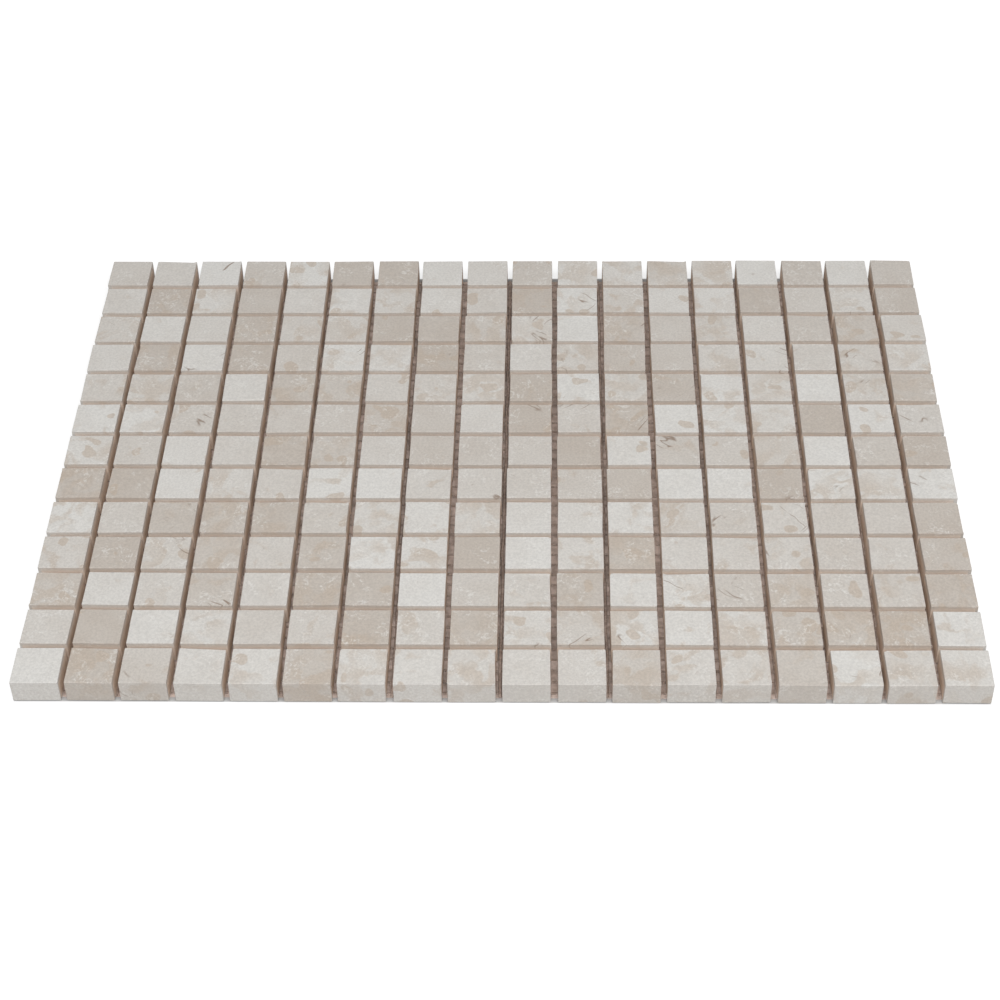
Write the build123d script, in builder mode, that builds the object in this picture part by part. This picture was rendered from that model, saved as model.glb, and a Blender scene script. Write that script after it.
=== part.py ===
"""Net-backed marble mosaic sheet: sawn square chips set in rows on a trimmed net of flat yarns.

The sheet lies face up. Origin: middle of the underside. +X runs along a row of chips, +Y from the front row to
the back row, +Z up out of the stone. Sizes are in millimetres.
"""
import os

from build123d import *

# Chips
chip_size = 15.0
chip_thickness = 8.0
joint_width = 2.0
columns = 18
rows = 13
arris = 0.3
corner_break = 0.3

# Net
net_pitch = 4.8
yarn_width = 1.0
yarn_thickness = 0.25
net_inset = 2.0

# Places that follow from the sizes above
chip_pitch = chip_size + joint_width
sheet_length = columns * chip_pitch - joint_width
sheet_depth = rows * chip_pitch - joint_width
net_length = sheet_length - 2 * net_inset
net_depth = sheet_depth - 2 * net_inset
warp_count = int((net_depth - yarn_width) // net_pitch) + 1
weft_count = int((net_length - yarn_width) // net_pitch) + 1
weft_level = yarn_thickness
chip_level = weft_level + yarn_thickness

os.makedirs("parts", exist_ok=True)

# Warp: the lower yarns, which run the length of the sheet and lie on the floor or in the adhesive bed
with BuildPart() as net_warp:
    with BuildSketch():
        with GridLocations(net_length, net_pitch, 1, warp_count):
            Rectangle(net_length, yarn_width)
    extrude(amount=yarn_thickness)
net_warp.part.label = "net_warp"
export_step(net_warp.part, "parts/net_warp.step")

# Weft: the upper yarns, which cross the warp and carry the chips
with BuildPart() as net_weft:
    with BuildSketch(Plane.XY.offset(weft_level)):
        with GridLocations(net_pitch, net_depth, weft_count, 1):
            Rectangle(yarn_width, net_depth)
    extrude(amount=yarn_thickness)
net_weft.part.label = "net_weft"
export_step(net_weft.part, "parts/net_weft.step")

# Chips: one row at a time from the front, each chip a sawn block with broken corners and a broken top arris
for row in range(rows):
    row_middle = (row - (rows - 1) / 2) * chip_pitch
    with BuildPart() as chip_row:
        with BuildSketch(Plane((0, row_middle, chip_level))) as chip_outlines:
            with GridLocations(chip_pitch, chip_pitch, columns, 1):
                Rectangle(chip_size, chip_size)
            chamfer(chip_outlines.vertices(), corner_break)
        extrude(amount=chip_thickness)
        chamfer(chip_row.faces().group_by(Axis.Z)[-1].edges(), arris)
    node_name = f"chip_row_{row + 1:02d}"
    chip_row.part.label = node_name
    export_step(chip_row.part, f"parts/{node_name}.step")
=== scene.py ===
# %% [markdown]
# # A sheet of marble mosaic
#
# The object is a sheet of small square marble chips. They stand in straight rows with open joints between
# them, and a net glued under them holds them together until the sheet is bedded on a wall. The main sizes
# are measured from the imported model, so the first step is to load that model and read the chips' size, the
# joints and the number of chips in a row from the boxes of its nodes.

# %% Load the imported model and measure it
import math

import bpy
from mathutils import Matrix, Vector


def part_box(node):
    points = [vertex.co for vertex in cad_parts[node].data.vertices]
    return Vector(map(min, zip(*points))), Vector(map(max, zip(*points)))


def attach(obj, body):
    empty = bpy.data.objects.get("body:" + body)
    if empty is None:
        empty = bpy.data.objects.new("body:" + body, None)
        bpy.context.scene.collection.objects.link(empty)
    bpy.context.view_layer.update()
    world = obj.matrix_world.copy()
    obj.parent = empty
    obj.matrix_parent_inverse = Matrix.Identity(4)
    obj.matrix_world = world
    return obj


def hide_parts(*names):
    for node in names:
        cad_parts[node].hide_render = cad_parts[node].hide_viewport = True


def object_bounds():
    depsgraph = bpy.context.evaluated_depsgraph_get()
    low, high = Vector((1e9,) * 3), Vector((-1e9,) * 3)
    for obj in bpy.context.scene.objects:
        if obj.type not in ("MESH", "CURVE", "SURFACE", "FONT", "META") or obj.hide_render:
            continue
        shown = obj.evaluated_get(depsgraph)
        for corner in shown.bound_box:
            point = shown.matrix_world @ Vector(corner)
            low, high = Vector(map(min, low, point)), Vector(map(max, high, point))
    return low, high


MM = 0.001

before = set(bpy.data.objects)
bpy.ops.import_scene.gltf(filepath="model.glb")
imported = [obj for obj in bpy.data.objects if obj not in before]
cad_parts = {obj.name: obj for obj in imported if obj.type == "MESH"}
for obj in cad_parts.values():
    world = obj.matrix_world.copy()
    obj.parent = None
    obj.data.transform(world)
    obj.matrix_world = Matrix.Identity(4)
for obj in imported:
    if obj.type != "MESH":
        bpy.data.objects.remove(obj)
cad_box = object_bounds()
row_nodes = sorted(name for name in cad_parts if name.startswith("chip_row_"))
front_low, front_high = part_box(row_nodes[0])
next_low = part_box(row_nodes[1])[0]
chip_size = front_high.y - front_low.y
chip_thickness = front_high.z - front_low.z
chip_pitch = next_low.y - front_low.y
joint_width = chip_pitch - chip_size
columns = round((front_high.x - front_low.x + joint_width) / chip_pitch)
sheet_top = front_high.z
print(len(row_nodes), "rows of", columns, "chips")
print(f"chips {chip_size / MM:.1f} mm square, joints {joint_width / MM:.1f} mm")

# %% [markdown]
# ## The camera
#
# The joints of the mosaic are a ready-made grid, so the camera was found by fitting that grid: how high it
# looks from, how far it is turned and tilted, and how far away it stands. Distances along the sheet are
# counted in chip pitches, because the grid is what was fitted. A camera in Blender looks along its own
# minus Z, so its matrix is made of three directions: its right, its up, and the way back from the sheet to
# the lens.

# %% Place the camera
view_elevation = math.radians(42.56)
view_turn = math.radians(1.97)
view_roll = math.radians(-1.28)
view_distance = 43.12 * chip_pitch
view_aim = Vector((-0.076 * chip_pitch, -1.501 * chip_pitch, sheet_top))
view_lens_mm = 78.42
sensor_mm = 36.0
view_clip_start = 10.0 * MM


def camera_matrix():
    """Where the camera stands and how it is turned."""
    level = math.cos(view_elevation)
    back = Vector((math.sin(view_turn) * level, -math.cos(view_turn) * level, math.sin(view_elevation)))
    right = Vector((math.cos(view_turn), math.sin(view_turn), 0.0))
    up = back.cross(right)
    rolled_right = math.cos(view_roll) * right + math.sin(view_roll) * up
    rolled_up = math.cos(view_roll) * up - math.sin(view_roll) * right
    turned = Matrix((rolled_right, rolled_up, back)).transposed().to_4x4()
    return Matrix.Translation(view_aim + back * view_distance) @ turned


camera = bpy.data.objects.new("camera", bpy.data.cameras.new("camera"))
bpy.context.scene.collection.objects.link(camera)
camera.data.lens = view_lens_mm
camera.data.sensor_width = sensor_mm
camera.data.clip_start = view_clip_start
camera.matrix_world = camera_matrix()
bpy.context.scene.camera = camera
print("camera stands at", [round(v, 3) for v in camera.location])

# %% [markdown]
# ## Building node trees
#
# The chips, the net and every finish are node trees. Two small helpers keep them readable: one adds a node
# and sets or links its inputs in the same call, and one makes an empty group with named sockets. An input
# that is given a socket is linked, and any other value is set on the input itself. The rest are short
# names for the nodes that come up most.

# %% Helpers for node trees
QUARTER_TURN = math.pi / 2.0


def put(tree, kind, inputs=None, **settings):
    """Add a node, set its properties, then set or link its inputs by name or number."""
    node = tree.nodes.new(kind)
    for name, value in settings.items():
        setattr(node, name, value)
    for key, value in (inputs or {}).items():
        if isinstance(value, bpy.types.NodeSocket):
            tree.links.new(value, node.inputs[key])
        else:
            node.inputs[key].default_value = value
    return node


def calc(tree, operation, first, second=0.0, clamp=False):
    """A Math node's result."""
    node = put(tree, "ShaderNodeMath", {0: first, 1: second}, operation=operation, use_clamp=clamp)
    return node.outputs[0]


def vector_calc(tree, operation, first, second=(0.0, 0.0, 0.0)):
    """A Vector Math node's vector result."""
    return put(tree, "ShaderNodeVectorMath", {0: first, 1: second}, operation=operation).outputs[0]


def grown(tree, vector, factor):
    """A vector times a number."""
    node = put(tree, "ShaderNodeVectorMath", {0: vector, "Scale": factor}, operation="SCALE")
    return node.outputs[0]


def about_z(tree, vector, angle):
    """A vector turned about the upright axis."""
    return put(tree, "ShaderNodeVectorRotate", {"Vector": vector, "Angle": angle},
               rotation_type="Z_AXIS").outputs[0]


def ramp(tree, value, start, stop, low=0.0, high=1.0):
    """A smooth step from low to high while value goes from start to stop."""
    node = put(tree, "ShaderNodeMapRange", {"Value": value, "From Min": start, "From Max": stop,
                                            "To Min": low, "To Max": high}, interpolation_type="SMOOTHSTEP")
    return node.outputs["Result"]


def blend_colour(tree, factor, first, second):
    """One colour laid over another."""
    node = put(tree, "ShaderNodeMix", {0: factor, 6: first, 7: second}, data_type="RGBA")
    return node.outputs[2]


def new_group(name, kind, inputs, outputs):
    """An empty node group with named sockets: the tree, its input sockets and its output sockets."""
    tree = bpy.data.node_groups.new(name, kind)
    for socket_name, socket_kind in inputs.items():
        tree.interface.new_socket(socket_name, in_out="INPUT", socket_type="NodeSocket" + socket_kind)
    for socket_name, socket_kind in outputs.items():
        tree.interface.new_socket(socket_name, in_out="OUTPUT", socket_type="NodeSocket" + socket_kind)
    return tree, tree.nodes.new("NodeGroupInput").outputs, tree.nodes.new("NodeGroupOutput").inputs


def noise(tree, vector, scale, detail=2.0, roughness=0.5):
    """A Noise Texture node."""
    return put(tree, "ShaderNodeTexNoise", {"Vector": vector, "Scale": scale, "Detail": detail,
                                            "Roughness": roughness})


def voronoi(tree, vector, scale, feature):
    """A Voronoi Texture node."""
    return put(tree, "ShaderNodeTexVoronoi", {"Vector": vector, "Scale": scale}, feature=feature)


print("node helpers ready")

# %% [markdown]
# ## The body of the stone
#
# This marble is a pale grey cream. On it, in this order, lie a slow drift of tone, rounded tan clouds and
# pebbles, broken white wisps, a fine grain, and here and there a granular brown stain, a curved brown
# crack or a dark pit. Every chip was sawn from another place in the block, so the pattern is a solid
# texture: it is read at a point inside the block, and each chip brings its own place. Each mark is a small
# function that says how strong the mark is at that point. Scales are per millimetre of stone. A noise
# seldom leaves the range from 0.3 to 0.7, so that is the range in which it is read.

# %% Helpers for the marks in the stone
MIDDLE = 0.5
NOISE_LOW = 0.3
NOISE_HIGH = 0.7


def tint(tree, colour, shade):
    """A colour made darker or lighter by a number."""
    return put(tree, "ShaderNodeMix", {0: 1.0, 6: colour, 7: shade}, data_type="RGBA",
               blend_type="MULTIPLY").outputs[2]


def channels(tree, colour):
    """The red, green and blue of a colour, to use as three fields."""
    return put(tree, "ShaderNodeSeparateColor", {0: colour}).outputs


def any_way(tree, place, scale, detail):
    """A slow push, any way and about none on the whole."""
    field = noise(tree, place, scale, detail).outputs["Color"]
    return vector_calc(tree, "SUBTRACT", field, (MIDDLE, MIDDLE, MIDDLE))


def lowered(tree, start, share, reach):
    """A threshold that comes down as a chip's share of a mark goes up."""
    return calc(tree, "SUBTRACT", start, calc(tree, "MULTIPLY", share, reach))


def hairline(tree, field, width):
    """A thin line where a field crosses its middle value."""
    off = calc(tree, "ABSOLUTE", calc(tree, "SUBTRACT", field, MIDDLE))
    return ramp(tree, off, 0.0, width, 1.0, 0.0)


print("marks read a noise from", NOISE_LOW, "to", NOISE_HIGH)

# %% [markdown]
# ### Tan clouds and pebbles
#
# The tan in the stone comes in two ways. Clouds have a soft, folded outline: a noise, read at a place that
# a slower noise has pushed aside, and kept where it is high. Pebbles are crisp and rounded: the middles of
# some cells of a Voronoi texture, pushed aside in the same way. A chip's own share says how much tan it
# shows.

# %% Tan marks
CLOUD_SCALE = 0.13
CLOUD_START = 0.7
CLOUD_REACH = 0.3
CLOUD_EDGE = 0.1
CLOUD_FAINT = 0.12
CLOUD_DEEP = 0.5
PEBBLE_SCALE = 0.13
PEBBLE_SHARE = 0.4
PEBBLE_INSIDE = 0.31
PEBBLE_OUTSIDE = 0.37
PEBBLE_STRENGTH = 0.6


def tan_clouds(tree, folded, patch, share):
    """Soft clouds, faint in some patches of the stone and deep in others."""
    start = lowered(tree, CLOUD_START, share, CLOUD_REACH)
    field = noise(tree, folded, CLOUD_SCALE, detail=3.0).outputs["Fac"]
    cloud = ramp(tree, field, start, calc(tree, "ADD", start, CLOUD_EDGE))
    depth = ramp(tree, patch, NOISE_LOW, NOISE_HIGH, CLOUD_FAINT, CLOUD_DEEP)
    return calc(tree, "MULTIPLY", cloud, depth)


def tan_pebbles(tree, folded, share):
    """Crisp rounded spots in the middle of some cells."""
    cell = voronoi(tree, folded, PEBBLE_SCALE, "F1")
    pick = channels(tree, cell.outputs["Color"])[1]
    kept = calc(tree, "LESS_THAN", pick, calc(tree, "MULTIPLY", share, PEBBLE_SHARE))
    disc = ramp(tree, cell.outputs["Distance"], PEBBLE_INSIDE, PEBBLE_OUTSIDE, PEBBLE_STRENGTH, 0.0)
    return calc(tree, "MULTIPLY", disc, kept)


print(f"pebbles are about {2.0 * PEBBLE_INSIDE / PEBBLE_SCALE:.1f} mm across")

# %% [markdown]
# ### Wisps, stains, cracks and pits
#
# The finer marks are lines and specks. A wisp is the line where a noise crosses its middle value, broken
# up by a finer noise, and a stain is where that same noise is highest. A crack is such a line in a noise
# that was drawn out one way, so that it runs nearly straight. Pits are dots in a few small cells. Most
# chips have few stains or cracks, or none, because their threshold only comes down with a chip's own
# share.

# %% Wisps, stains, cracks and pits
WISP_SCALE = 0.2
WISP_WIDTH = 0.05
WISP_BARE = 0.45
WISP_FULL = 0.62
WISP_STRENGTH = 0.6
BREAK_SCALE = 0.6
BREAK_LOW = 0.4
WISP_BREAK_HIGH = 0.6
STAIN_START = 0.84
STAIN_REACH = 0.22
STAIN_EDGE = 0.12
STAIN_STRENGTH = 0.9
STAIN_BREAK_HIGH = 0.56
STAIN_LEAST = 0.2
CRACK_PATCH_SCALE = 0.07
CRACK_START = 0.79
CRACK_REACH = 0.18
CRACK_EDGE = 0.06
CRACK_STRENGTH = 0.85
CRACK_WIDTH = 0.034
CRACK_DRAWN_OUT = (0.05, 0.28, 0.16)
CRACK_ANGLES = (0.6, 2.3)
CRACK_BEND = 5.0
PIT_SCALE = 0.42
PIT_INSIDE = 0.03
PIT_OUTSIDE = 0.11
PIT_STRENGTH = 0.45
PIT_PICK = 0.93


def white_wisps(tree, field, broken, patch):
    """Broken hairlines in some patches of the stone."""
    strength = ramp(tree, patch, WISP_BARE, WISP_FULL, 0.0, WISP_STRENGTH)
    veined = calc(tree, "MULTIPLY", strength, ramp(tree, broken, BREAK_LOW, WISP_BREAK_HIGH))
    return calc(tree, "MULTIPLY", hairline(tree, field, WISP_WIDTH), veined)


def brown_stains(tree, field, broken, share):
    """Granular stains where the field of the wisps is highest."""
    start = lowered(tree, STAIN_START, share, STAIN_REACH)
    stain = ramp(tree, field, start, calc(tree, "ADD", start, STAIN_EDGE), 0.0, STAIN_STRENGTH)
    return calc(tree, "MULTIPLY", stain, ramp(tree, broken, BREAK_LOW, STAIN_BREAK_HIGH, STAIN_LEAST, 1.0))


def cracks_one_way(tree, place, angle, patch):
    """Curved hairlines drawn out about one way, kept only inside a patch."""
    drawn_out = vector_calc(tree, "MULTIPLY", about_z(tree, place, angle), CRACK_DRAWN_OUT)
    field = noise(tree, drawn_out, 1.0, detail=1.0).outputs["Fac"]
    return calc(tree, "MULTIPLY", hairline(tree, field, CRACK_WIDTH), patch)


def brown_cracks(tree, place, drift, share):
    """Cracks that run in two ways, each way in patches of its own."""
    start = lowered(tree, CRACK_START, share, CRACK_REACH)
    full = calc(tree, "ADD", start, CRACK_EDGE)
    bent = vector_calc(tree, "ADD", place, grown(tree, drift, CRACK_BEND))
    patches = channels(tree, noise(tree, place, CRACK_PATCH_SCALE, detail=1.0).outputs["Color"])
    both_ways = []
    for angle, patch in zip(CRACK_ANGLES, patches):
        cracked = ramp(tree, patch, start, full, 0.0, CRACK_STRENGTH)
        both_ways.append(cracks_one_way(tree, bent, angle, cracked))
    return calc(tree, "MAXIMUM", *both_ways)


def dark_pits(tree, place):
    """Dots in the middle of a few small cells."""
    cell = voronoi(tree, place, PIT_SCALE, "F1")
    kept = calc(tree, "GREATER_THAN", channels(tree, cell.outputs["Color"])[0], PIT_PICK)
    dot = ramp(tree, cell.outputs["Distance"], PIT_INSIDE, PIT_OUTSIDE, PIT_STRENGTH, 0.0)
    return calc(tree, "MULTIPLY", dot, kept)


print("cracks run in", len(CRACK_ANGLES), "ways")

# %% [markdown]
# ### The stone put together
#
# The tops and the sawn walls are the same stone, so its colour is one shader group that both materials
# use. It makes the noises that several marks share once, then lays the marks over each other from the
# broad to the fine.

# %% Shader group: marble body
PALE_STONE = (0.67, 0.655, 0.625, 1.0)
BEIGE_STONE = (0.5, 0.447, 0.394, 1.0)
TAN_STONE = (0.48, 0.395, 0.315, 1.0)
WHITE_WISP = (0.72, 0.705, 0.675, 1.0)
BROWN_STAIN = (0.34, 0.285, 0.24, 1.0)
BROWN_CRACK = (0.23, 0.16, 0.115, 1.0)
DRIFT_SCALE = 0.07
FOLD_REACH = 14.0
PATCH_SCALE = 0.1
TONE_DRIFT = 0.06
GRAIN_SCALE = 1.2
GRAIN_DARK = 0.91
GRAIN_LIGHT = 1.085


def marble_body_group():
    """Colour and tan of the stone at a place in the block."""
    tree, given, result = new_group(
        "marble_body", "ShaderNodeTree",
        {"Place": "Vector", "Tone": "Float", "Tan share": "Float", "Crack share": "Float"},
        {"Color": "Color", "Tan": "Float"})
    place = grown(tree, given["Place"], 1.0 / MM)
    drift = any_way(tree, place, DRIFT_SCALE, detail=2.0)
    folded = vector_calc(tree, "ADD", place, grown(tree, drift, FOLD_REACH))
    patches = noise(tree, place, PATCH_SCALE, detail=1.0).outputs["Color"]
    tone_patch, tan_patch, wisp_patch = channels(tree, patches)
    wisp_field = noise(tree, folded, WISP_SCALE, detail=3.0, roughness=0.65).outputs["Fac"]
    broken = noise(tree, place, BREAK_SCALE, detail=3.0, roughness=0.7).outputs["Fac"]
    grain = noise(tree, place, GRAIN_SCALE, detail=3.0, roughness=0.7).outputs["Fac"]

    slow = ramp(tree, tone_patch, NOISE_LOW, NOISE_HIGH, -TONE_DRIFT, TONE_DRIFT)
    tone = calc(tree, "ADD", given["Tone"], slow, clamp=True)
    colour = blend_colour(tree, tone, PALE_STONE, BEIGE_STONE)
    clouds = tan_clouds(tree, folded, tan_patch, given["Tan share"])
    tan = calc(tree, "MAXIMUM", clouds, tan_pebbles(tree, folded, given["Tan share"]))
    colour = blend_colour(tree, tan, colour, TAN_STONE)
    colour = blend_colour(tree, white_wisps(tree, wisp_field, broken, wisp_patch), colour, WHITE_WISP)
    colour = tint(tree, colour, ramp(tree, grain, NOISE_LOW, NOISE_HIGH, GRAIN_DARK, GRAIN_LIGHT))
    stains = brown_stains(tree, wisp_field, broken, given["Crack share"])
    colour = blend_colour(tree, stains, colour, BROWN_STAIN)
    cracks = brown_cracks(tree, place, drift, given["Crack share"])
    colour = blend_colour(tree, calc(tree, "MAXIMUM", cracks, dark_pits(tree, place)), colour, BROWN_CRACK)

    tree.links.new(colour, result["Color"])
    tree.links.new(tan, result["Tan"])
    return tree


marble_body = marble_body_group()
print("marble body has", len(marble_body.nodes), "nodes")

# %% [markdown]
# ## Two finishes of one stone
#
# The face of a chip is honed: flat, satin, with no mirror in it. Its walls and underside are as the saw
# left them, rougher and a little dusty, and down in the joints their colour is a painted warm bounce light
# that gets stronger with depth. The sheet's own outer edges don't have it. Both materials read the place in
# the block from an attribute that each chip carries, and pass it to the same body group. Only roughness,
# bump, saw dust and the painted glow differ.

# %% What both finishes read
PLACE_NAME = "stone_place"
TONE_NAME = "chip_tone"
TAN_NAME = "chip_tan"
CRACK_NAME = "chip_cracks"


def attribute(tree, name):
    """An Attribute node that reads what a mesh carries under that name."""
    return put(tree, "ShaderNodeAttribute", attribute_name=name)


def empty_material(name):
    """A material with only a Principled shader and its output."""
    material = bpy.data.materials.new(name)
    material.use_nodes = True
    return material, material.node_tree, material.node_tree.nodes["Principled BSDF"]


def roughened(tree, shader, height, strength, depth):
    """Bump a surface by a field of heights."""
    bump = put(tree, "ShaderNodeBump", {"Height": height, "Strength": strength, "Distance": depth})
    tree.links.new(bump.outputs["Normal"], shader.inputs["Normal"])


def place_in_block(tree):
    """The place in the block, in millimetres."""
    return grown(tree, attribute(tree, PLACE_NAME).outputs["Vector"], 1.0 / MM)


def stone_inputs(tree):
    """The marble body group, read at the chip's place in the block."""
    body = put(tree, "ShaderNodeGroup", node_tree=marble_body)
    tree.links.new(attribute(tree, PLACE_NAME).outputs["Vector"], body.inputs["Place"])
    tree.links.new(attribute(tree, TONE_NAME).outputs["Fac"], body.inputs["Tone"])
    tree.links.new(attribute(tree, TAN_NAME).outputs["Fac"], body.inputs["Tan share"])
    tree.links.new(attribute(tree, CRACK_NAME).outputs["Fac"], body.inputs["Crack share"])
    return body


print("chips will carry", PLACE_NAME, TONE_NAME, TAN_NAME, CRACK_NAME)

# %% Material: honed faces
HONED_ROUGHNESS = 0.5
TAN_ROUGHNESS = 0.42
HONED_SPECULAR = 0.35
HONED_GRAIN_SCALE = 1.1
HONED_BUMP = 0.15
HONED_DEPTH = 0.05 * MM


def honed_marble():
    """The satin face of a chip and its worn arris."""
    material, tree, shader = empty_material("honed_marble")
    body = stone_inputs(tree)
    tree.links.new(body.outputs["Color"], shader.inputs["Base Color"])
    satin = ramp(tree, body.outputs["Tan"], 0.0, 1.0, HONED_ROUGHNESS, TAN_ROUGHNESS)
    tree.links.new(satin, shader.inputs["Roughness"])
    grain = noise(tree, place_in_block(tree), HONED_GRAIN_SCALE, detail=1.0).outputs["Fac"]
    roughened(tree, shader, grain, HONED_BUMP, HONED_DEPTH)
    shader.inputs["Specular IOR Level"].default_value = HONED_SPECULAR
    return material


honed_face = honed_marble()
print("face finish:", honed_face.name)

# %% [markdown]
# ### Sawn walls, their dust and a painted glow
#
# A wall carries the dust of the saw, which sticks in its grit everywhere. Between two chips it also carries
# a painted warm bounce light, which lies only there, so its mask is worked out from a point's place in the
# sheet: how far inside the outline it is, and how far below the face.

# %% Material: sawn walls
SAWN_ROUGHNESS = 0.75
SAWN_SPECULAR = 0.3
GRIT_SCALE = 1.6
GRIT_BUMP = 0.3
GRIT_DEPTH = 0.12 * MM
GRIT_BARE = 0.45
GRIT_DUSTY = 0.7
SAW_DUST = (0.53, 0.485, 0.445, 1.0)
SAW_DUST_LEAST = 0.15
SAW_DUST_MOST = 0.5
# Painted warm bounce light down in the joints, stronger with depth below the face.
PAINTED_JOINT_GLOW = (0.8, 0.67, 0.565, 1.0)
GLOW_FULL_DEPTH = 3.0 * MM
GLOW_LEAST = 0.1
GLOW_MOST = 0.95
BARE_FOOT = 0.2 * MM


def painted_joint_glow(tree):
    """How much painted warm bounce light a wall takes down in a joint: 0 on the sheet's outer edges and on
    the undersides.
    """
    place = put(tree, "ShaderNodeTexCoord").outputs["Object"]
    inside = vector_calc(tree, "SUBTRACT", cad_box[1], vector_calc(tree, "ABSOLUTE", place))
    sides = put(tree, "ShaderNodeSeparateXYZ", {0: inside}).outputs
    edge = calc(tree, "MINIMUM", sides[0], sides[1])
    within = calc(tree, "GREATER_THAN", edge, joint_width / 2.0)
    on_wall = calc(tree, "LESS_THAN", sides[2], chip_thickness - BARE_FOOT)
    glow_share = ramp(tree, sides[2], 0.0, GLOW_FULL_DEPTH, GLOW_LEAST, GLOW_MOST)
    return calc(tree, "MULTIPLY", glow_share, calc(tree, "MULTIPLY", within, on_wall))


def sawn_marble():
    """The walls and underside, rough from the saw."""
    material, tree, shader = empty_material("sawn_marble")
    body = stone_inputs(tree)
    grit = noise(tree, place_in_block(tree), GRIT_SCALE, detail=1.0, roughness=0.65).outputs["Fac"]
    dusty = ramp(tree, grit, GRIT_BARE, GRIT_DUSTY, SAW_DUST_LEAST, SAW_DUST_MOST)
    sawn = blend_colour(tree, dusty, body.outputs["Color"], SAW_DUST)
    # Down in the joints the sawn colour is blended towards a painted warm bounce light.
    tree.links.new(blend_colour(tree, painted_joint_glow(tree), sawn, PAINTED_JOINT_GLOW), shader.inputs["Base Color"])
    roughened(tree, shader, grit, GRIT_BUMP, GRIT_DEPTH)
    shader.inputs["Roughness"].default_value = SAWN_ROUGHNESS
    shader.inputs["Specular IOR Level"].default_value = SAWN_SPECULAR
    return material


sawn_wall = sawn_marble()
print("wall finish:", sawn_wall.name)

# %% [markdown]
# ## One chip
#
# A chip is a sawn block whose edges were broken by handling. It repeats hundreds of times, so it is kept
# light: one outline of sixteen points, crowded towards the corners where the shape turns, is extruded up
# to the arris and then twice more, each time smaller, to round the top edge.

# %% Geometry Nodes: one chip
SIDES = 4
POINTS_A_SIDE = 4
CROWDING = 0.1
ROUND_SHARE = 0.35
WELD_DISTANCE = 0.001 * MM


def keep(tree, geometry, name, value, kind, domain):
    """Store a value under a name on the geometry."""
    return put(tree, "GeometryNodeStoreNamedAttribute", {"Geometry": geometry, "Name": name, "Value": value},
               data_type=kind, domain=domain).outputs[0]


def finished(tree, geometry, material, selection=True):
    """The geometry with a material on its faces, or on the selected ones."""
    return put(tree, "GeometryNodeSetMaterial", {"Geometry": geometry, "Selection": selection,
                                                 "Material": material}).outputs[0]


def chip_outline(tree, half, corner):
    """A square outline with broken corners as one face, its few points crowded towards the corners."""
    index = put(tree, "GeometryNodeInputIndex").outputs[0]
    side = calc(tree, "FLOOR", calc(tree, "DIVIDE", index, POINTS_A_SIDE))
    step = calc(tree, "DIVIDE", calc(tree, "MODULO", index, POINTS_A_SIDE), POINTS_A_SIDE - 1.0)
    from_middle = calc(tree, "SUBTRACT", 1.0, calc(tree, "MULTIPLY", step, 2.0))
    crowded = calc(tree, "POWER", calc(tree, "ABSOLUTE", from_middle), CROWDING)
    reach = calc(tree, "MULTIPLY", calc(tree, "SUBTRACT", half, corner), crowded)
    along = calc(tree, "MULTIPLY", reach, calc(tree, "SIGN", from_middle))
    point = put(tree, "ShaderNodeCombineXYZ", {0: along, 1: half}).outputs[0]
    turned = about_z(tree, point, calc(tree, "MULTIPLY", side, QUARTER_TURN))
    ring = put(tree, "GeometryNodeCurvePrimitiveCircle", {"Resolution": SIDES * POINTS_A_SIDE})
    square = put(tree, "GeometryNodeSetPosition", {"Geometry": ring.outputs["Curve"], "Position": turned})
    return put(tree, "GeometryNodeFillCurve", {"Curve": square.outputs[0]}, mode="NGONS").outputs[0]


def raised(tree, mesh, selection, height, shrink):
    """Extrude a face upwards and shrink it: the mesh, its new top and its new walls."""
    up = put(tree, "ShaderNodeCombineXYZ", {2: height}).outputs[0]
    step = put(tree, "GeometryNodeExtrudeMesh", {"Mesh": mesh, "Selection": selection, "Offset": up,
                                                 "Offset Scale": 1.0})
    sized = put(tree, "GeometryNodeScaleElements", {"Geometry": step.outputs["Mesh"],
                                                    "Selection": step.outputs["Top"], "Scale": shrink})
    return sized.outputs[0], step.outputs["Top"], step.outputs["Side"]


def chip_block(tree, given):
    """One closed chip standing on z = 0, with its local places stored on it."""
    half = calc(tree, "MULTIPLY", given["Chip size"], 0.5)
    arris = given["Arris"]
    base = chip_outline(tree, half, given["Corner"])
    wall_height = calc(tree, "SUBTRACT", given["Thickness"], arris)
    low_rise = calc(tree, "MULTIPLY", arris, 1.0 - ROUND_SHARE)
    high_rise = calc(tree, "MULTIPLY", arris, ROUND_SHARE)
    low_half = calc(tree, "SUBTRACT", half, high_rise)
    high_half = calc(tree, "SUBTRACT", half, arris)
    walls, top, _ = raised(tree, base, True, wall_height, 1.0)
    low, top, low_side = raised(tree, walls, top, low_rise, calc(tree, "DIVIDE", low_half, half))
    high, top, high_side = raised(tree, low, top, high_rise, calc(tree, "DIVIDE", high_half, low_half))
    honed = put(tree, "FunctionNodeBooleanMath", {0: top, 1: high_side}, operation="OR").outputs[0]
    honed = put(tree, "FunctionNodeBooleanMath", {0: honed, 1: low_side}, operation="OR").outputs[0]
    sawn = finished(tree, high, given["Sawn wall"])
    under = put(tree, "GeometryNodeFlipFaces", {"Mesh": base}).outputs[0]
    both = put(tree, "GeometryNodeJoinGeometry")
    tree.links.new(finished(tree, sawn, given["Honed face"], honed), both.inputs[0])
    tree.links.new(finished(tree, under, given["Sawn wall"]), both.inputs[0])
    closed = put(tree, "GeometryNodeMergeByDistance", {"Geometry": both.outputs[0],
                                                       "Distance": WELD_DISTANCE})
    position = put(tree, "GeometryNodeInputPosition").outputs[0]
    return keep(tree, closed.outputs[0], "chip_place", position, "FLOAT_VECTOR", "POINT")


print("a chip's outline has", SIDES * POINTS_A_SIDE, "points")

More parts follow.
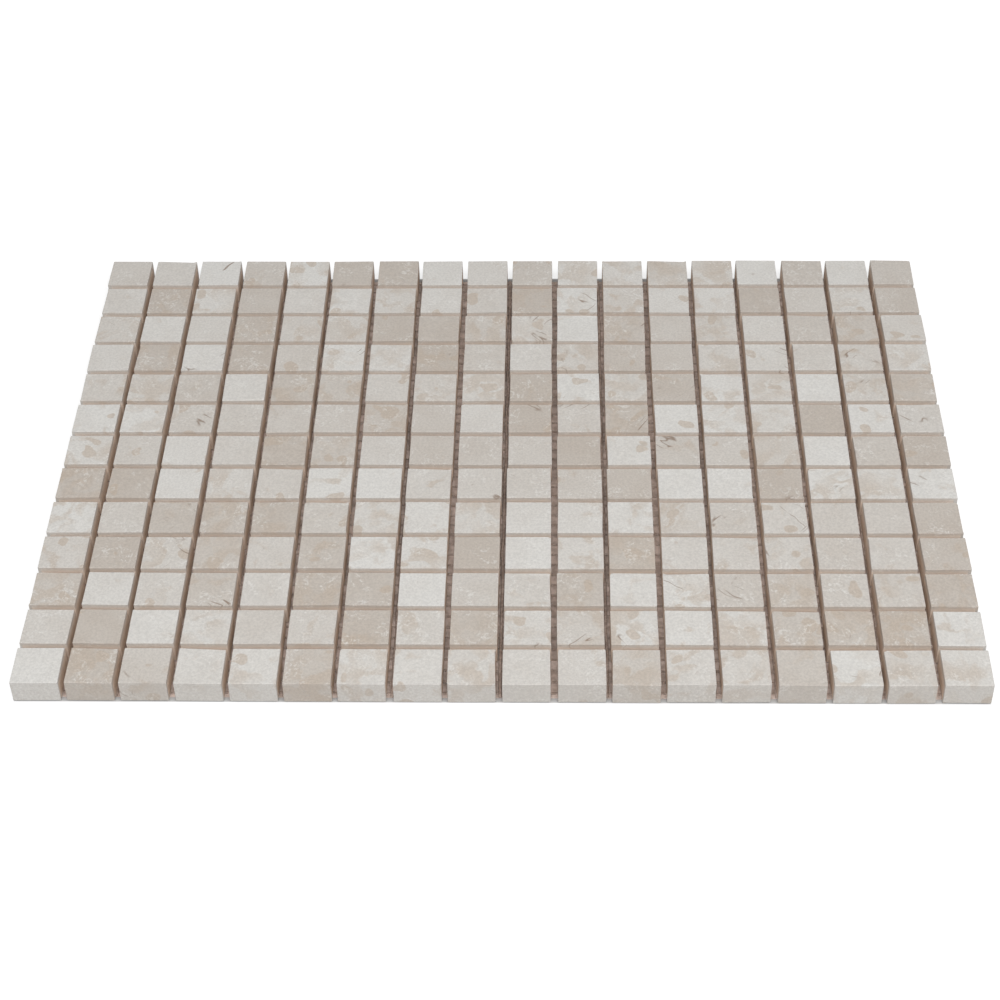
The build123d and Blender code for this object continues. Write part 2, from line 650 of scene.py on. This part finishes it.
# %% [markdown]
# ## A row of chips
#
# Geometry Nodes set the chip along a row, turn and shift each copy by a hair as hand setting does, and
# nick some top corners with a noise that differs on every chip. Each copy also carries its place in the
# block, its tone, and its shares of tan and of cracks, for the materials to read. All of this is drawn at
# random from one seed a row, and what is drawn second, third and so on adds its own number to that seed.

# %% Geometry Nodes: a row of chips
TURN_DRAW = 100.0
BLOCK_DRAW = 200.0
QUARTER_DRAW = 300.0
TAN_DRAW = 400.0
CRACK_DRAW = 500.0
TONE_DRAW = 600.0
BLOCK_REACH = (2.0, 2.0, 2.0)
TONE_POWER = 1.2
CRACK_POWER = 2.0
NICK_SCALE = 0.45
NICK_SPREAD = 50.0
NICK_START = 0.58
NICK_FULL = 0.78
NICK_REACH = 1.2
NICK_DROP = -0.5
CORNER_SHARE = 0.43


def random_vector(tree, reach, index, seed):
    """A random vector for each copy, up to reach either way."""
    back = grown(tree, reach, -1.0)
    return put(tree, "FunctionNodeRandomValue", {0: back, 1: reach, "ID": index, "Seed": seed},
               data_type="FLOAT_VECTOR").outputs[0]


def random_share(tree, index, seed):
    """A random number from 0 to 1 for each copy."""
    return put(tree, "FunctionNodeRandomValue", {2: 0.0, 3: 1.0, "ID": index, "Seed": seed},
               data_type="FLOAT").outputs[1]


def recall(tree, name, kind):
    """A value stored under a name."""
    return put(tree, "GeometryNodeInputNamedAttribute", {"Name": name}, data_type=kind).outputs[0]


def set_row(tree, given, chip):
    """Copies of the chip along a row, shifted and turned by a hair, each with its own stone."""
    pitch = put(tree, "ShaderNodeCombineXYZ", {0: given["Pitch"]}).outputs[0]
    spots = put(tree, "GeometryNodeMeshLine", {"Count": given["Columns"], "Start Location": given["Start"],
                                               "Offset": pitch}).outputs[0]
    index = put(tree, "GeometryNodeInputIndex").outputs[0]
    seed = given["Seed"]
    shift = random_vector(tree, given["Shift"], index, seed)
    turn = random_vector(tree, given["Turn"], index, calc(tree, "ADD", seed, TURN_DRAW))
    set_out = put(tree, "GeometryNodeSetPosition", {"Geometry": spots, "Offset": shift}).outputs[0]
    copies = put(tree, "GeometryNodeInstanceOnPoints", {"Points": set_out, "Instance": chip,
                                                        "Rotation": turn}).outputs[0]
    block = random_vector(tree, BLOCK_REACH, index, calc(tree, "ADD", seed, BLOCK_DRAW))
    copies = keep(tree, copies, "chip_block", block, "FLOAT_VECTOR", "INSTANCE")
    any_turn = random_share(tree, index, calc(tree, "ADD", seed, QUARTER_DRAW))
    quarter = calc(tree, "FLOOR", calc(tree, "MULTIPLY", any_turn, SIDES))
    copies = keep(tree, copies, "chip_quarter", quarter, "FLOAT", "INSTANCE")
    tone = random_share(tree, index, calc(tree, "ADD", seed, TONE_DRAW))
    copies = keep(tree, copies, TONE_NAME, calc(tree, "POWER", tone, TONE_POWER), "FLOAT", "INSTANCE")
    tan = random_share(tree, index, calc(tree, "ADD", seed, TAN_DRAW))
    copies = keep(tree, copies, TAN_NAME, tan, "FLOAT", "INSTANCE")
    cracked = random_share(tree, index, calc(tree, "ADD", seed, CRACK_DRAW))
    copies = keep(tree, copies, CRACK_NAME, calc(tree, "POWER", cracked, CRACK_POWER), "FLOAT", "INSTANCE")
    return put(tree, "GeometryNodeRealizeInstances", {"Geometry": copies}).outputs[0]


def nick_corners(tree, given, chips):
    """Push the top corners in and down where a slow noise is high."""
    place = recall(tree, "chip_place", "FLOAT_VECTOR")
    block = recall(tree, "chip_block", "FLOAT_VECTOR")
    spot = vector_calc(tree, "ADD", grown(tree, place, 1.0 / MM), grown(tree, block, NICK_SPREAD))
    field = noise(tree, spot, NICK_SCALE, detail=1.0).outputs[0]
    depth = calc(tree, "MULTIPLY", ramp(tree, field, NICK_START, NICK_FULL), given["Nick"])
    height = put(tree, "ShaderNodeSeparateXYZ", {0: place}).outputs[2]
    arris_reach = calc(tree, "MULTIPLY", given["Arris"], NICK_REACH)
    arris_start = calc(tree, "SUBTRACT", given["Thickness"], arris_reach)
    on_arris = calc(tree, "GREATER_THAN", height, arris_start)
    spread = put(tree, "ShaderNodeSeparateXYZ", {0: vector_calc(tree, "ABSOLUTE", place)}).outputs
    corner_start = calc(tree, "MULTIPLY", given["Chip size"], CORNER_SHARE)
    at_corner = calc(tree, "GREATER_THAN", calc(tree, "MINIMUM", spread[0], spread[1]), corner_start)
    nicked = calc(tree, "MULTIPLY", on_arris, at_corner)
    inward = vector_calc(tree, "NORMALIZE", vector_calc(tree, "MULTIPLY", place, (-1.0, -1.0, 0.0)))
    in_and_down = vector_calc(tree, "ADD", inward, (0.0, 0.0, NICK_DROP))
    offset = grown(tree, in_and_down, calc(tree, "MULTIPLY", depth, nicked))
    return put(tree, "GeometryNodeSetPosition", {"Geometry": chips, "Offset": offset}).outputs[0]


def chip_row_tree():
    """The whole tree, from one outline to a row of finished chips."""
    tree, given, result = new_group(
        "chip_row", "GeometryNodeTree",
        {"Chip size": "Float", "Thickness": "Float", "Arris": "Float", "Corner": "Float", "Pitch": "Float",
         "Columns": "Int", "Start": "Vector", "Shift": "Vector", "Turn": "Vector", "Nick": "Float",
         "Seed": "Int", "Honed face": "Material", "Sawn wall": "Material"},
        {"Geometry": "Geometry"})
    chips = nick_corners(tree, given, set_row(tree, given, chip_block(tree, given)))
    place = recall(tree, "chip_place", "FLOAT_VECTOR")
    turn = calc(tree, "MULTIPLY", recall(tree, "chip_quarter", "FLOAT"), QUARTER_TURN)
    block = recall(tree, "chip_block", "FLOAT_VECTOR")
    in_block = vector_calc(tree, "ADD", about_z(tree, place, turn), block)
    chips = keep(tree, chips, PLACE_NAME, in_block, "FLOAT_VECTOR", "POINT")
    for spent in ("chip_place", "chip_block", "chip_quarter"):
        chips = put(tree, "GeometryNodeRemoveAttribute", {"Geometry": chips, "Name": spent}).outputs[0]
    tree.links.new(chips, result["Geometry"])
    return tree


chip_row = chip_row_tree()
print("chip row tree has", len(chip_row.nodes), "nodes")

# %% [markdown]
# ## Setting every row
#
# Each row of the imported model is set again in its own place, measured from the box of its node. What is
# handed over has to be a plain mesh, so the tree runs once on an empty object and only its result is kept.
# A modifier's input is set by the socket's identifier, because the name that is shown is only a label.

# %% Set every row
chip_arris = 0.15 * MM
chip_corner = 0.15 * MM
set_shift = (0.22 * MM, 0.16 * MM, 0.0)
set_turn = (0.0, 0.0, math.radians(0.7))
chip_allowance = 0.04 * MM
nick_depth = 0.45 * MM
setting_seed = 11


def plain_mesh(name, tree, values):
    """Run a geometry tree on a new object and keep only the mesh that it makes."""
    piece = bpy.data.objects.new(name, bpy.data.meshes.new(name))
    bpy.context.scene.collection.objects.link(piece)
    modifier = piece.modifiers.new("shape", "NODES")
    modifier.node_group = tree
    for socket in tree.interface.items_tree:
        if socket.in_out == "INPUT" and socket.name in values:
            modifier[socket.identifier] = values[socket.name]
    depsgraph = bpy.context.evaluated_depsgraph_get()
    mesh = bpy.data.meshes.new_from_object(piece.evaluated_get(depsgraph), depsgraph=depsgraph)
    piece.modifiers.clear()
    piece.data = mesh
    mesh.name = name
    return piece


for number, node in enumerate(row_nodes):
    low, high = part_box(node)
    row_piece = plain_mesh(node.replace("chip_row", "marble_chips"), chip_row, {
        "Chip size": chip_size - chip_allowance, "Thickness": chip_thickness, "Arris": chip_arris,
        "Corner": chip_corner, "Pitch": chip_pitch, "Columns": columns,
        "Start": (low.x + chip_size / 2.0, (low.y + high.y) / 2.0, low.z),
        "Shift": set_shift, "Turn": set_turn, "Nick": nick_depth, "Seed": setting_seed + number,
        "Honed face": honed_face, "Sawn wall": sawn_wall})
    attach(row_piece, "root")
    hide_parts(node)
chip_faces = len(row_piece.data.polygons) // columns
print(len(row_nodes), "rows set,", chip_faces, "faces a chip")

# %% [markdown]
# ## The net
#
# Under the chips lies a net of flat yarns stiffened with resin. It only shows at the bottom of the joints
# and from below, but there it shows as brown yarns across a paler floor, with a loose fibre here and there
# that catches the light, so it is made of real yarns. A yarn and a loose fibre differ only in how dark the
# resin on them is, so one function makes both finishes from a light and a dark colour.

# %% Materials: resin-stiffened yarn and loose fibre
YARN_LIGHT = (0.69, 0.58, 0.52, 1.0)
YARN_DARK = (0.5, 0.4, 0.345, 1.0)
FIBRE_LIGHT = (0.92, 0.86, 0.81, 1.0)
FIBRE_DARK = (0.72, 0.65, 0.59, 1.0)
FLECK_SCALE = 0.9 / MM
FLECK_LOW = 0.42
FLECK_HIGH = 0.62
FLECK_BUMP = 0.6
FLECK_DEPTH = 0.1 * MM
YARN_ROUGHNESS = 0.55


def glass_yarn(name, light, dark):
    """Glass yarn under old resin: pale flecks on a duller, browner thread."""
    material, tree, shader = empty_material(name)
    place = put(tree, "ShaderNodeTexCoord").outputs["Object"]
    fleck = noise(tree, place, FLECK_SCALE, detail=3.0, roughness=0.6).outputs["Fac"]
    colour = blend_colour(tree, ramp(tree, fleck, FLECK_LOW, FLECK_HIGH), dark, light)
    tree.links.new(colour, shader.inputs["Base Color"])
    roughened(tree, shader, fleck, FLECK_BUMP, FLECK_DEPTH)
    shader.inputs["Roughness"].default_value = YARN_ROUGHNESS
    return material


resin_yarn = glass_yarn("resin_yarn", YARN_LIGHT, YARN_DARK)
loose_fibre = glass_yarn("loose_fibre", FIBRE_LIGHT, FIBRE_DARK)
print("net finishes:", resin_yarn.name, "and", loose_fibre.name)

# %% [markdown]
# ### A set of yarns
#
# One tree lays one set: a line of points, a yarn on each, a little waviness along it, a flat six-sided
# section, and short fibres strewn beside it. Few sides are enough for a thread that is seen a few pixels
# wide.

# %% Geometry Nodes: a set of yarns
SECTION_SIDES = 6
HEXAGON_HEIGHT = 0.866
FIBRE_SIDES = 3
FIBRE_SWAY = math.radians(50.0)
FRAYED_SHARE = 0.965
SWAY_DRAW = 50.0
WAVER_SCALE = 0.11 / MM


def straight_curve(tree, length):
    """A straight curve along local X, centred on the origin."""
    half = calc(tree, "MULTIPLY", length, 0.5)
    start = put(tree, "ShaderNodeCombineXYZ", {0: calc(tree, "MULTIPLY", half, -1.0)}).outputs[0]
    end = put(tree, "ShaderNodeCombineXYZ", {0: half}).outputs[0]
    return put(tree, "GeometryNodeCurvePrimitiveLine", {"Start": start, "End": end}).outputs[0]


def yarn_lines(tree, given):
    """The middle lines of a set of yarns along local X, side by side along local Y, each a little wavy."""
    gaps = calc(tree, "SUBTRACT", given["Count"], 1.0)
    first = calc(tree, "MULTIPLY", gaps, calc(tree, "MULTIPLY", given["Pitch"], -0.5))
    start = put(tree, "ShaderNodeCombineXYZ", {1: first}).outputs[0]
    step = put(tree, "ShaderNodeCombineXYZ", {1: given["Pitch"]}).outputs[0]
    spots = put(tree, "GeometryNodeMeshLine", {"Count": given["Count"], "Start Location": start,
                                               "Offset": step}).outputs[0]
    line = straight_curve(tree, given["Length"])
    bent = put(tree, "GeometryNodeResampleCurve", {"Curve": line, "Count": given["Bends"]}).outputs[0]
    laid = put(tree, "GeometryNodeInstanceOnPoints", {"Points": spots, "Instance": bent}).outputs[0]
    yarns = put(tree, "GeometryNodeRealizeInstances", {"Geometry": laid}).outputs[0]
    position = put(tree, "GeometryNodeInputPosition").outputs[0]
    push = any_way(tree, position, WAVER_SCALE, detail=1.0)
    sideways = vector_calc(tree, "MULTIPLY", push, (0.0, 1.0, 0.0))
    offset = grown(tree, sideways, given["Waver"])
    return put(tree, "GeometryNodeSetPosition", {"Geometry": yarns, "Offset": offset}).outputs[0]


def flat_tubes(tree, lines, given):
    """A flat six-sided yarn along each line."""
    ring = put(tree, "GeometryNodeCurvePrimitiveCircle", {"Resolution": SECTION_SIDES, "Radius": 0.5})
    flat = put(tree, "ShaderNodeCombineXYZ", {0: given["Width"], 2: 1.0,
                                              1: calc(tree, "DIVIDE", given["Thickness"], HEXAGON_HEIGHT)})
    section = put(tree, "GeometryNodeTransform", {"Geometry": ring.outputs["Curve"],
                                                  "Scale": flat.outputs[0]})
    tubes = put(tree, "GeometryNodeCurveToMesh", {"Curve": lines, "Profile Curve": section.outputs[0],
                                                  "Fill Caps": True}).outputs[0]
    return finished(tree, tubes, given["Yarn"])


def frayed_fibres(tree, lines, given):
    """Short loose fibres strewn beside the yarns but short of their ends, each turned its own way."""
    ring = put(tree, "GeometryNodeCurvePrimitiveCircle", {"Resolution": FIBRE_SIDES,
                                                          "Radius": given["Fibre radius"]}).outputs["Curve"]
    line = straight_curve(tree, given["Fibre length"])
    fibre = put(tree, "GeometryNodeCurveToMesh", {"Curve": line, "Profile Curve": ring,
                                                  "Fill Caps": True}).outputs[0]
    frayed = put(tree, "GeometryNodeTransform", {"Geometry": lines, "Scale": (FRAYED_SHARE, 1.0, 1.0)})
    spots = put(tree, "GeometryNodeCurveToPoints", {"Curve": frayed.outputs[0], "Count": given["Fibres"]},
                mode="COUNT").outputs[0]
    index = put(tree, "GeometryNodeInputIndex").outputs[0]
    aside = put(tree, "ShaderNodeCombineXYZ", {0: given["Fibre length"], 1: given["Width"]}).outputs[0]
    offset = random_vector(tree, aside, index, given["Seed"])
    strewn = put(tree, "GeometryNodeSetPosition", {"Geometry": spots, "Offset": offset}).outputs[0]
    sway = random_vector(tree, (0.0, 0.0, FIBRE_SWAY), index, calc(tree, "ADD", given["Seed"], SWAY_DRAW))
    laid = put(tree, "GeometryNodeInstanceOnPoints", {"Points": strewn, "Instance": fibre,
                                                      "Rotation": sway}).outputs[0]
    real = put(tree, "GeometryNodeRealizeInstances", {"Geometry": laid}).outputs[0]
    return finished(tree, real, given["Fibre"])


def yarn_tree():
    """One set of yarns with its loose fibres, turned and lifted into the net."""
    tree, given, result = new_group(
        "yarn_set", "GeometryNodeTree",
        {"Length": "Float", "Pitch": "Float", "Count": "Int", "Width": "Float", "Thickness": "Float",
         "Level": "Float", "Waver": "Float", "Bends": "Int", "Quarter turn": "Float", "Fibres": "Int",
         "Fibre length": "Float", "Fibre radius": "Float", "Seed": "Int", "Yarn": "Material",
         "Fibre": "Material"},
        {"Geometry": "Geometry"})
    lines = yarn_lines(tree, given)
    both = put(tree, "GeometryNodeJoinGeometry")
    tree.links.new(flat_tubes(tree, lines, given), both.inputs[0])
    tree.links.new(frayed_fibres(tree, lines, given), both.inputs[0])
    angle = calc(tree, "MULTIPLY", given["Quarter turn"], QUARTER_TURN)
    turn = put(tree, "ShaderNodeCombineXYZ", {2: angle}).outputs[0]
    lift = put(tree, "ShaderNodeCombineXYZ", {2: given["Level"]}).outputs[0]
    placed = put(tree, "GeometryNodeTransform", {"Geometry": both.outputs[0], "Translation": lift,
                                                 "Rotation": turn}).outputs[0]
    tree.links.new(placed, result["Geometry"])
    return tree


yarn_set = yarn_tree()
print("yarn tree has", len(yarn_set.nodes), "nodes")

# %% [markdown]
# ### Laying both sets
#
# The lower yarns run along the rows and the upper ones across them. Each set takes its length, thickness
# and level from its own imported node, and the upper set is the same tree turned by a quarter.

# %% Lay the net
net_pitch = 4.8 * MM
yarn_width = 1.0 * MM
yarn_waver = 1.6 * MM
yarn_bends = 24
fibres_a_yarn = 26
fibre_length = 1.6 * MM
fibre_radius = 0.1 * MM
fray_seed = 5

for node, along, across, quarter in (("net_warp", 0, 1, 0.0), ("net_weft", 1, 0, 1.0)):
    low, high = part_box(node)
    size = high - low
    yarn_count = round((size[across] - yarn_width) / net_pitch) + 1
    net_piece = plain_mesh(node + "_yarns", yarn_set, {
        "Length": size[along], "Pitch": net_pitch, "Count": yarn_count, "Width": yarn_width,
        "Thickness": size.z, "Level": (low.z + high.z) / 2.0, "Waver": yarn_waver, "Bends": yarn_bends,
        "Quarter turn": quarter, "Fibres": fibres_a_yarn, "Fibre length": fibre_length,
        "Fibre radius": fibre_radius, "Seed": fray_seed, "Yarn": resin_yarn, "Fibre": loose_fibre})
    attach(net_piece, "root")
    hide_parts(node)
    print(net_piece.name, "has", len(net_piece.data.polygons), "faces")

# %% [markdown]
# ## The floor
#
# The floor is white where the camera sees it beside the sheet, and still takes the sheet's shadow. Under
# the sheet it is not lifted, and its colour there is painted warm, patchy light, like the light that comes
# down a joint between two walls of stone and past the yarns.

# %% White floor
floor_half = 3.0
floor_white = 0.55
# Painted warm, patchy light on the floor under the sheet, seen down the joints.
shade_dark = (0.66, 0.55, 0.49, 1.0)
shade_light = (0.92, 0.79, 0.73, 1.0)
shade_scale = 0.4 / MM
shade_low = 0.35
shade_high = 0.65
shade_inset = 2.0 * MM
near_lift = 0.62
far_lift = 0.3
near_start = -0.5 * MM
near_margin = 0.4 * MM
far_margin = 400.0 * MM


def camera_sees(tree):
    """1 for what the camera sees, straight, in a reflection or through glass, and 0 for other light."""
    path = put(tree, "ShaderNodeLightPath")
    straight = calc(tree, "MAXIMUM", path.outputs["Is Camera Ray"], path.outputs["Is Glossy Ray"])
    return calc(tree, "MAXIMUM", straight, path.outputs["Is Transmission Ray"])


def white_floor():
    """A matt white floor that is lifted to full white for the camera only, with painted warm light under the
    sheet.
    """
    material = bpy.data.materials.new("white_floor")
    material.use_nodes = True
    tree = material.node_tree
    tree.nodes.clear()
    place = put(tree, "ShaderNodeTexCoord").outputs["Object"]
    beyond = vector_calc(tree, "SUBTRACT", vector_calc(tree, "ABSOLUTE", place), cad_box[1])
    sides = put(tree, "ShaderNodeSeparateXYZ", {0: beyond}).outputs
    gap = calc(tree, "MAXIMUM", sides[0], sides[1])
    open_floor = (floor_white, floor_white, floor_white, 1.0)
    # Under the sheet the floor's colour is painted warm light, made patchy by a noise.
    patch = noise(tree, place, shade_scale).outputs["Fac"]
    shade = blend_colour(tree, ramp(tree, patch, shade_low, shade_high), shade_dark, shade_light)
    colour = blend_colour(tree, calc(tree, "GREATER_THAN", gap, -shade_inset), shade, open_floor)
    matt = put(tree, "ShaderNodeBsdfDiffuse", {"Color": colour})
    near = ramp(tree, gap, near_start, near_margin, 0.0, near_lift)
    far = ramp(tree, gap, near_margin, far_margin, 0.0, far_lift)
    strength = calc(tree, "MULTIPLY", camera_sees(tree), calc(tree, "ADD", near, far))
    lift = put(tree, "ShaderNodeEmission", {"Strength": strength})
    both = put(tree, "ShaderNodeAddShader", {0: matt.outputs[0], 1: lift.outputs[0]})
    put(tree, "ShaderNodeOutputMaterial", {"Surface": both.outputs[0]})
    return material


floor_mesh = bpy.data.meshes.new("floor")
quarters = ((-1, -1), (1, -1), (1, 1), (-1, 1))
corners = [(sx * floor_half, sy * floor_half, cad_box[0].z) for sx, sy in quarters]
floor_mesh.from_pydata(corners, [], [(0, 1, 2, 3)])
floor_mesh.materials.append(white_floor())
floor = bpy.data.objects.new("floor", floor_mesh)
bpy.context.scene.collection.objects.link(floor)
print("floor lies at", round(cad_box[0].z, 4), "and reaches", floor_half, "m each way")

# %% [markdown]
# ## The light
#
# The sheet lies under one broad soft lamp, high and to the front, with an even fill from the room. The
# front faces are then nearly as bright as the tops, and the joints stay dark by themselves. The camera
# sees the room as white, and the fill on the stone is less than that.

# %% Lamp and room
lamp_power = 13.7
lamp_width = 1.5
lamp_depth = 0.9
lamp_place = Vector((0.12, -0.72, 1.0))
room_fill = 0.39


def white_room():
    """An even fill, seen as white by the camera."""
    world = bpy.data.worlds.new("room")
    world.use_nodes = True
    tree = world.node_tree
    tree.nodes.clear()
    strength = calc(tree, "ADD", calc(tree, "MULTIPLY", camera_sees(tree), 1.0 - room_fill), room_fill)
    background = put(tree, "ShaderNodeBackground", {"Color": (1.0, 1.0, 1.0, 1.0), "Strength": strength})
    put(tree, "ShaderNodeOutputWorld", {"Surface": background.outputs[0]})
    return world


lamp = bpy.data.objects.new("soft_lamp", bpy.data.lights.new("soft_lamp", "AREA"))
bpy.context.scene.collection.objects.link(lamp)
lamp.data.energy = lamp_power
lamp.data.shape = "RECTANGLE"
lamp.data.size = lamp_width
lamp.data.size_y = lamp_depth
lamp.location = lamp_place
lamp.rotation_euler = (-lamp_place).to_track_quat("-Z", "Y").to_euler()
bpy.context.scene.world = white_room()
bpy.context.scene.view_settings.view_transform = "Standard"
print("lamp at", [round(v, 2) for v in lamp_place], "fill", room_fill)
